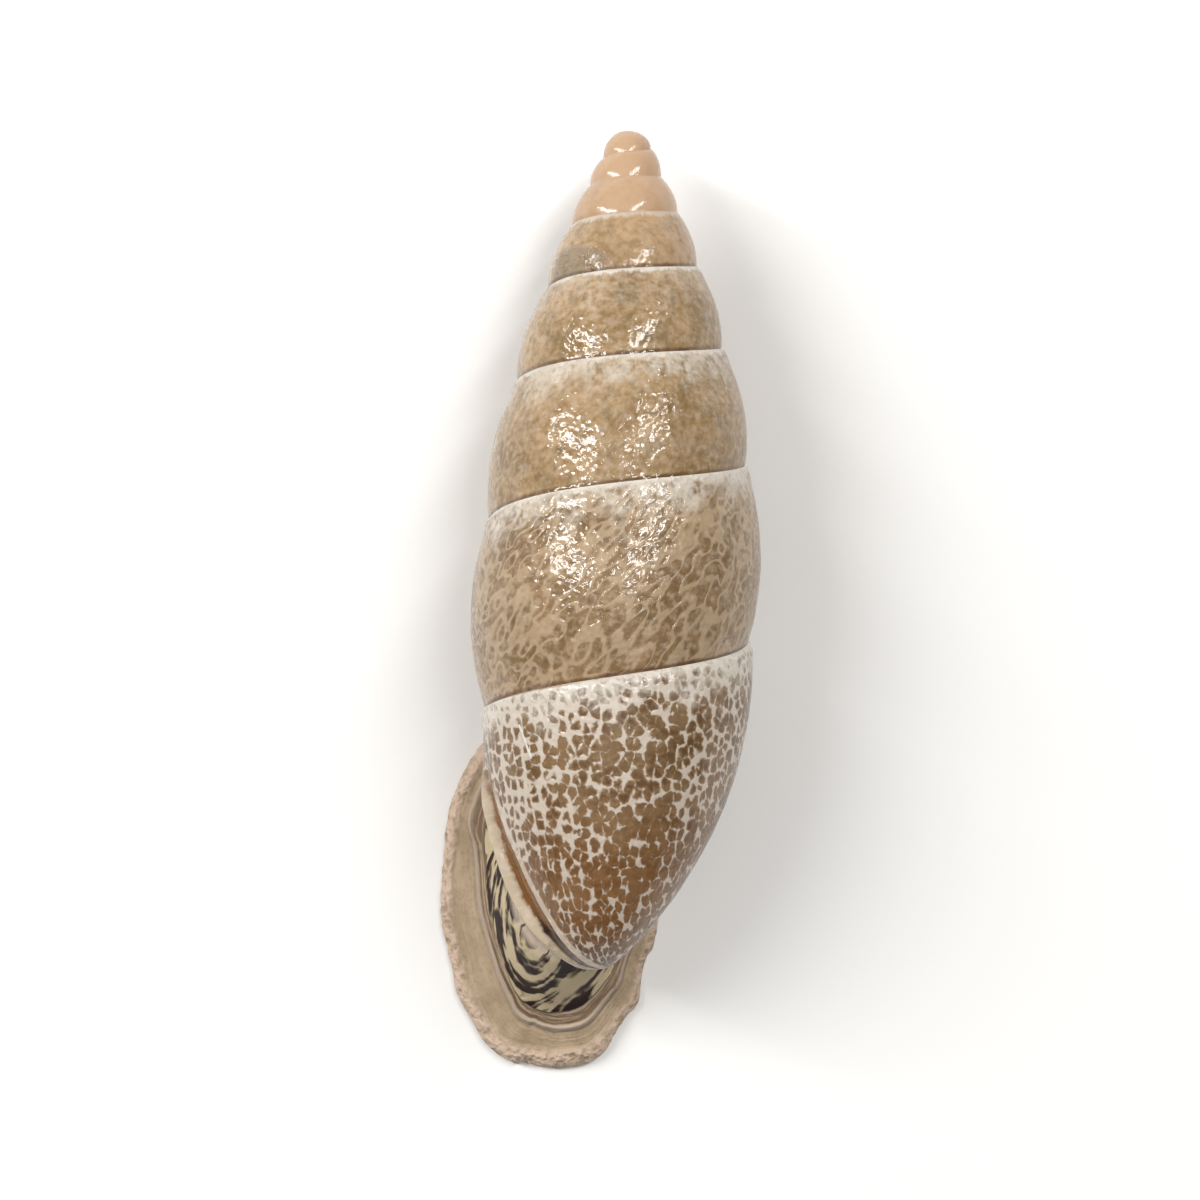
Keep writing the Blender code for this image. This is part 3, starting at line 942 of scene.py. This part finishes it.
# %% The tree that sweeps the outline round the neck
tree, given = start_tree("Neck Point", "GeometryNodeTree", {
    "Run": 0.0, "Flare": 0.0, "Around": 0.0, "Below Wall": 0.0, "Reach": 1.0})
run, flare, around = given["Run"], given["Flare"], given["Around"]
out, down = cosine(around), sine(around)


def quarter(value, size_plus, size_minus):
    """How much one direction adds to the lip's width, with its own size on either side."""
    return size_plus * larger(value, 0.0) ** 2.0 + size_minus * smaller(value, 0.0) ** 2.0


lip = quarter(out, LIP_OUTER, LIP_INNER) + quarter(down, LIP_LOWER, LIP_UPPER)
lip = lip * (1.0 - LIP_SQUARENESS * cosine(4.0 * around)) * given["Reach"]
scale = 1.0 + smaller(flare, 0.0)
grow_out = lip * larger(flare, 0.0)
inside = smaller(run, 0.0)
outside = larger(run, 0.0)
depth = NECK_DEPTH + NECK_DROP * run + (COIL_DROP - NECK_DROP) * inside
depth = depth + (NECK_HALF_HEIGHT * scale + grow_out) * down
from_axis = NECK_CENTRE + (NECK_HALF_WIDTH * scale + grow_out) * out + LIP_SKEW * larger(flare, 0.0) * down
turn = LAST_TURN + inside / (2.0 * math.pi * TURN_RADIUS)
room = use(whorl_wall, {"Turn": turn, "Depth": depth})["Radius"] - given["Below Wall"]
from_axis = from_axis + step(-1.0 * run, 0.0, WALL_ENTRY) * smaller(room - from_axis, 0.0)
angle = math.pi + 2.0 * math.pi * (turn - LAST_TURN)
away = outside * (1.0 + LIP_PLANE * (depth - LIP_PLANE_DEPTH))
neck_point = end_tree(tree, use(shell_place, {
    "X": from_axis * cosine(angle), "Z": from_axis * sine(angle) - away, "Depth": depth}), "NodeSocketVector")

tree, given = start_tree("Neck", "GeometryNodeTree", {
    "Outline": "Object", "Steps Along": 60, "Steps Around": 60, "Below Wall": 0.0, "Relief": 1.0,
    "Glaze": "Material"})
mesh, along, share = flat_grid(given["Steps Along"], given["Steps Around"])
drawn = result_of(tree, "GeometryNodeObjectInfo", None, {"Object": given["Outline"]}, "Geometry")
run, flare, _ = parts(result_of(tree, "GeometryNodeSampleCurve", {"mode": "FACTOR", "use_all_curves": True},
                                {"Curves": drawn, "Factor": along}, "Position"))
flare = flare / FLARE_SCALE
turned = share * 360.0
around = (turned + 180.0) * (math.pi / 180.0)
chips = (noise(vector(turned * 0.22, 0.0, 0.0), 1.0, 3.0, 0.6, 57.0) - 0.5) * 0.1
chips = chips - 0.06 * hump(turned, 259.0, 3.0)
reach = 1.0 + given["Relief"] * (drawn_curve(turned, LIP_REACH) - 1.0 + chips)
spot = use(neck_point, {
    "Run": run, "Flare": flare, "Around": around, "Below Wall": given["Below Wall"], "Reach": reach})
slide = (turned - 180.0) * (math.pi / 180.0) * MEAN_RADIUS * step(turned, 290.0, 225.0) - run
mesh = keep(mesh, "sweep", vector(run, flare, turned))
mesh = keep(mesh, "creases", vector(
    flare - drawn_curve(turned, RAISED_LINE), flare - drawn_curve(turned, TRENCH_LINE), slide))
mesh = placed(mesh, "Position", spot["Point"])
bumps = (noise(spot["Point"], 1.3, 3.0, 0.55, 51.0) - 0.5) * 0.35 * step(flare, 0.6, 0.95)
bumps = bumps + (noise(spot["Point"], 0.8, 2.0, 0.5, 53.0) - 0.5) * 0.12 * step(flare, -0.1, 0.2)
push = scaled(result_of(tree, "GeometryNodeInputNormal"), bumps * given["Relief"])
mesh = placed(mesh, "Offset", push)
neck_tree = end_tree(tree, with_material(mesh, given["Glaze"]), "NodeSocketGeometry")

# %% Grow the neck, the mouth's hollow and the wall that bounds it
NECK_STEPS = ((110, 241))
MOUTH_STEPS = (60, 97)
INNER_STEPS_PER_TURN = 80
INNER_ROWS = 12


def grow_neck(name, outline, steps, below_wall, relief, glaze):
    """Sweeps an outline round the neck and returns the closed form."""
    made = grow(name, neck_tree, {
        "Outline": outline, "Steps Along": steps[0], "Steps Around": steps[1],
        "Below Wall": below_wall, "Relief": relief, "Glaze": glaze})
    close(made)
    return made


neck_line = outline_curve("neck outline", NECK_OUTLINE)
mouth_line = outline_curve("mouth outline", MOUTH_OUTLINE)
neck = grow_neck("neck", neck_line, NECK_STEPS, NECK_BELOW_WALL, 1.0, lip_glaze)
mouth = grow_neck("mouth", mouth_line, MOUTH_STEPS, MOUTH_BELOW_WALL, 0.0, throat_glaze)
inner_wall = grow("inner wall", whorls_tree, coil_inputs(
    CALLUS_END, INNER_STEPS_PER_TURN, INNER_ROWS, INNER_ROWS, relief=0.0, thicker=CALLUS, glaze=throat_glaze))
close(inner_wall)

# %% [markdown]
# ## One closed piece
#
# The neck is joined to the whorls and the mouth's hollow is cut out of both with the Boolean
# modifier. The wall round the hollow's far end comes from the same growth rules, a little thicker
# than the whorl it lies on. Each tool brings its own material to the faces it makes.

# %% Join the neck on and hollow the mouth out
SHARP_FROM_DEGREES = 50


def combine(made, operation, other, solver="EXACT"):
    """Runs a Boolean of one object with another, which is then gone."""
    modifier = made.modifiers.new(other.name, "BOOLEAN")
    modifier.operation = operation
    modifier.object = other
    modifier.solver = solver
    modifier.material_mode = "TRANSFER"
    made.data = bpy.data.meshes.new_from_object(made.evaluated_get(bpy.context.evaluated_depsgraph_get()))
    made.modifiers.clear()
    bpy.data.objects.remove(other)
    print(f"{made.name} {operation.lower()}: {len(made.data.polygons)} faces")


combine(mouth, "DIFFERENCE", inner_wall)
combine(whorls, "UNION", neck)
combine(whorls, "DIFFERENCE", mouth, "MANIFOLD")
for line in (neck_line, mouth_line):
    bpy.data.objects.remove(line)
shell = whorls
shell.data.shade_smooth()
shell.data.set_sharp_from_angle(angle=math.radians(SHARP_FROM_DEGREES))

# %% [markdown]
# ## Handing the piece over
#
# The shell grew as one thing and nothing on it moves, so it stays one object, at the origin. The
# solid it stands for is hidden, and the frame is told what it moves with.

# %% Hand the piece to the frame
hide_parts("shell")
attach(shell, "root")

# %% [markdown]
# ## Floor, light and camera
#
# The photo looks straight down on the shell. A broad lamp overhead gives the soft even light, and
# two narrow ones stand for the windows that leave two upright streaks of sparkles on each whorl.
# The floor is pale and plain, and the camera hangs over the middle, turned as the shell lies.

# %% Floor, light and camera
PAPER = (0.86, 0.85, 0.83, 1.0)
FLOOR_HALF_WIDTH = 1.5
LIT_POINT = Vector((0.0, 0.0, 0.005))
ROOM_COLOUR = (1.0, 0.98, 0.95, 1.0)
ROOM_LIGHT = 0.15
CAMERA_PLACE = (-0.000048, 0.00027, 0.12)
CAMERA_TURN = 1.4
LENS = 108.0

floor_material, _, bsdf = new_material("floor")
bsdf.inputs["Base Color"].default_value = PAPER
bsdf.inputs["Roughness"].default_value = 0.8
data = bpy.data.meshes.new("floor")
mesh = bmesh.new()
bmesh.ops.create_grid(mesh, x_segments=1, y_segments=1, size=FLOOR_HALF_WIDTH)
mesh.to_mesh(data)
mesh.free()
floor = bpy.data.objects.new("floor", data)
data.materials.append(floor_material)
bpy.context.scene.collection.objects.link(floor)


def soft_light(name, direction, distance, width, length, power):
    """An oval lamp that shines on the shell from a direction, with its sizes in metres."""
    data = bpy.data.lights.new(name, "AREA")
    data.shape = "ELLIPSE"
    data.size = width
    data.size_y = length
    data.energy = power
    made = bpy.data.objects.new(name, data)
    bpy.context.scene.collection.objects.link(made)
    aim = Vector(direction).normalized()
    made.location = aim * distance + LIT_POINT
    made.rotation_euler = aim.to_track_quat("Z", "Y").to_euler()


soft_light("overhead", (0.0, 0.1, 1.0), distance=1.0, width=1.2, length=1.2, power=1.5)
soft_light("left window", (-0.95, 0.42, 1.0), distance=0.5, width=0.05, length=0.42, power=2.0)
soft_light("right window", (0.42, 0.42, 1.0), distance=0.5, width=0.035, length=0.42, power=1.5)
world = bpy.data.worlds.new("studio")
bpy.context.scene.world = world
bpy.context.scene.view_settings.view_transform = "Standard"
world.use_nodes = True
room = world.node_tree.nodes["Background"]
room.inputs["Color"].default_value = ROOM_COLOUR
room.inputs["Strength"].default_value = ROOM_LIGHT

camera_data = bpy.data.cameras.new("camera")
camera_data.lens = LENS
camera_data.sensor_width = 36.0
camera_data.clip_start = 0.01
camera = bpy.data.objects.new("camera", camera_data)
camera.location = CAMERA_PLACE
camera.rotation_euler = (0.0, 0.0, math.radians(CAMERA_TURN))
bpy.context.scene.collection.objects.link(camera)
bpy.context.scene.camera = camera
